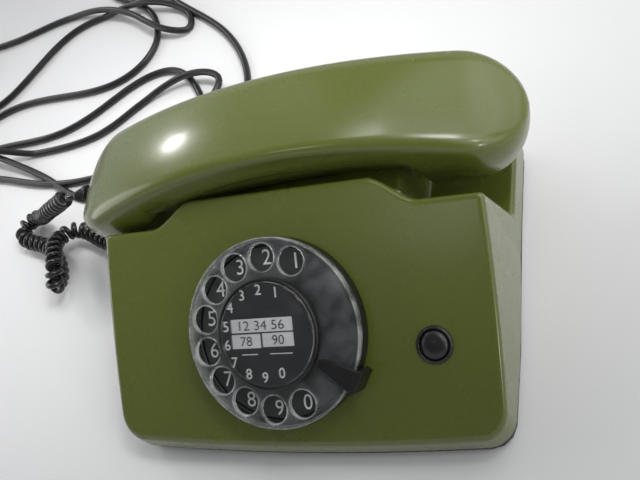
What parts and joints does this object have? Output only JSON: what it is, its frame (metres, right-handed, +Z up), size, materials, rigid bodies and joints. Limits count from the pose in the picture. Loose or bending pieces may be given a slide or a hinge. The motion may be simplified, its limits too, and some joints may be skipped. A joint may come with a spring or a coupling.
{
  "type": "rotary desk telephone",
  "caption": "Olive green desk telephone with a sloped front, clear rotary dial, push-button, handset on its rest, curly handset cord and long line cord.",
  "frame": {"origin": "centre of the telephone's footprint, handset included and cords left out, at the level of the table", "axes": "+Z up; +Y from the dial's front edge to the rear wall with the line cord; +X to the right, towards the push-button"},
  "size_m": [0.544, 0.3546, 0.0985],
  "materials": {
    "olive_green_plastic": "glossy moulded plastic",
    "black_plastic": "semi-gloss moulded plastic",
    "cord_plastic": "soft semi-gloss cord sheath",
    "dark_base_plastic": "matt moulded plastic",
    "grey_dial_plastic": "smooth dark grey plastic",
    "clear_plastic": "polished clear acrylic",
    "card": "printed black card with white fields",
    "steel": "satin",
    "brass": "satin",
    "copper_winding": "enamelled copper wire",
    "rubber": "matt",
    "circuit_board": "matt laminate",
    "cream_nylon": "matt"
  },
  "bodies": {
    "telephone": {"base_plate": "dark_base_plastic", "button_bezel": "black_plastic", "button_contacts": "cream_nylon", "capacitor": "black_plastic", "circuit_board": "circuit_board", "dial_base": "grey_dial_plastic", "dial_frame": "steel", "dial_mainspring": "steel", "dial_screw_1": "steel", "dial_screw_2": "steel", "finger_stop": "black_plastic", "foot_front_left": "rubber", "foot_front_right": "rubber", "foot_rear_left": "rubber", "foot_rear_right": "rubber", "gong_left": "brass", "gong_right": "brass", "governor_cup": "steel", "handset_cord": "cord_plastic", "handset_cord_gland": "black_plastic", "hook_bracket": "steel", "hook_contacts": "cream_nylon", "hook_pin": "steel", "hook_spring": "steel", "housing_cover": "olive_green_plastic", "housing_screw_left": "steel", "housing_screw_right": "steel", "impulse_contacts": "cream_nylon", "line_cord": "cord_plastic", "line_cord_coil": "cord_plastic", "line_cord_gland": "black_plastic", "line_cord_tie": "cord_plastic", "line_plug": "black_plastic", "number_ring": "grey_dial_plastic", "ringer_bracket": "steel", "ringer_coil": "copper_winding", "terminal_block": "cream_nylon", "transformer": "steel"},
    "dial": {"finger_wheel": "clear_plastic", "label_holder": "black_plastic", "label_card": "card", "label_window": "clear_plastic", "dial_shaft": "steel", "main_gear": "brass"},
    "idler": {"idler_gear": "brass"},
    "governor": {"governor_rotor": "brass"},
    "push_button": {"earth_button": "black_plastic"},
    "plunger": {"hook_plunger": "cream_nylon"},
    "lever": {"hook_lever": "steel"},
    "handset": {"handset_upper_shell": "olive_green_plastic", "handset_lower_shell": "olive_green_plastic", "earpiece_capsule": "steel", "earpiece_seal": "rubber", "microphone_capsule": "steel", "microphone_seal": "rubber", "handset_screw_1": "steel", "handset_screw_2": "steel", "handset_cord_boot": "black_plastic"},
    "striker": {"clapper": "steel"},
    "volume_control": {"volume_wheel": "black_plastic"}
  },
  "joints": [
    {"name": "dial_turn", "type": "hinge", "parent": "telephone", "child": "dial", "pos_m": [0.00435, -0.03776, 0.04385], "axis": [0, -0.5, 0.866], "range_deg": [-310, 0], "stiffness_Nm_per_rad": 0.012, "springref_deg": 57.3},
    {"name": "idler_turn", "type": "hinge", "parent": "telephone", "child": "idler", "pos_m": [0.00435, -0.01827, 0.0551], "axis": [0, -0.5, 0.866], "range_deg": [0, 1240]},
    {"name": "governor_turn", "type": "hinge", "parent": "telephone", "child": "governor", "pos_m": [-0.00545, -0.01827, 0.0551], "axis": [0, -0.5, 0.866], "range_deg": [-3720, 0]},
    {"name": "button_press", "type": "slide", "parent": "telephone", "child": "push_button", "axis": [0, 0.5, -0.866], "range_m": [0, 0.0025], "stiffness_N_per_m": 400, "springref_m": -0.002},
    {"name": "plunger_rise", "type": "slide", "parent": "telephone", "child": "plunger", "axis": [0, 0, 1], "range_m": [0, 0.005], "stiffness_N_per_m": 150, "springref_m": 0.008, "deforming": ["hook_spring"]},
    {"name": "lever_turn", "type": "hinge", "parent": "telephone", "child": "lever", "pos_m": [0.04035, 0.0564, 0.0443], "axis": [0, 1, 0], "range_deg": [0, 14.33]},
    {"name": "handset_lift", "type": "slide", "parent": "telephone", "child": "handset", "axis": [0, 0, 1], "range_m": [0, 0.12]},
    {"name": "clapper_swing", "type": "hinge", "parent": "telephone", "child": "striker", "pos_m": [0.00635, 0.0239, 0.0155], "axis": [0, 0, 1], "range_deg": [-11, 11], "stiffness_Nm_per_rad": 0.01},
    {"name": "volume_turn", "type": "hinge", "parent": "telephone", "child": "volume_control", "pos_m": [0.00635, 0.0619, 0.0055], "axis": [0, 0, 1], "range_deg": [0, 270]}
  ],
  "couplings": [
    {"joint": "idler_turn", "follows": "dial_turn", "ratio": -4},
    {"joint": "governor_turn", "follows": "dial_turn", "ratio": 12},
    {"joint": "plunger_rise", "follows": "handset_lift", "ratio": 0.04166},
    {"joint": "lever_turn", "follows": "handset_lift", "rad_per_m": 2.083}
  ]
}
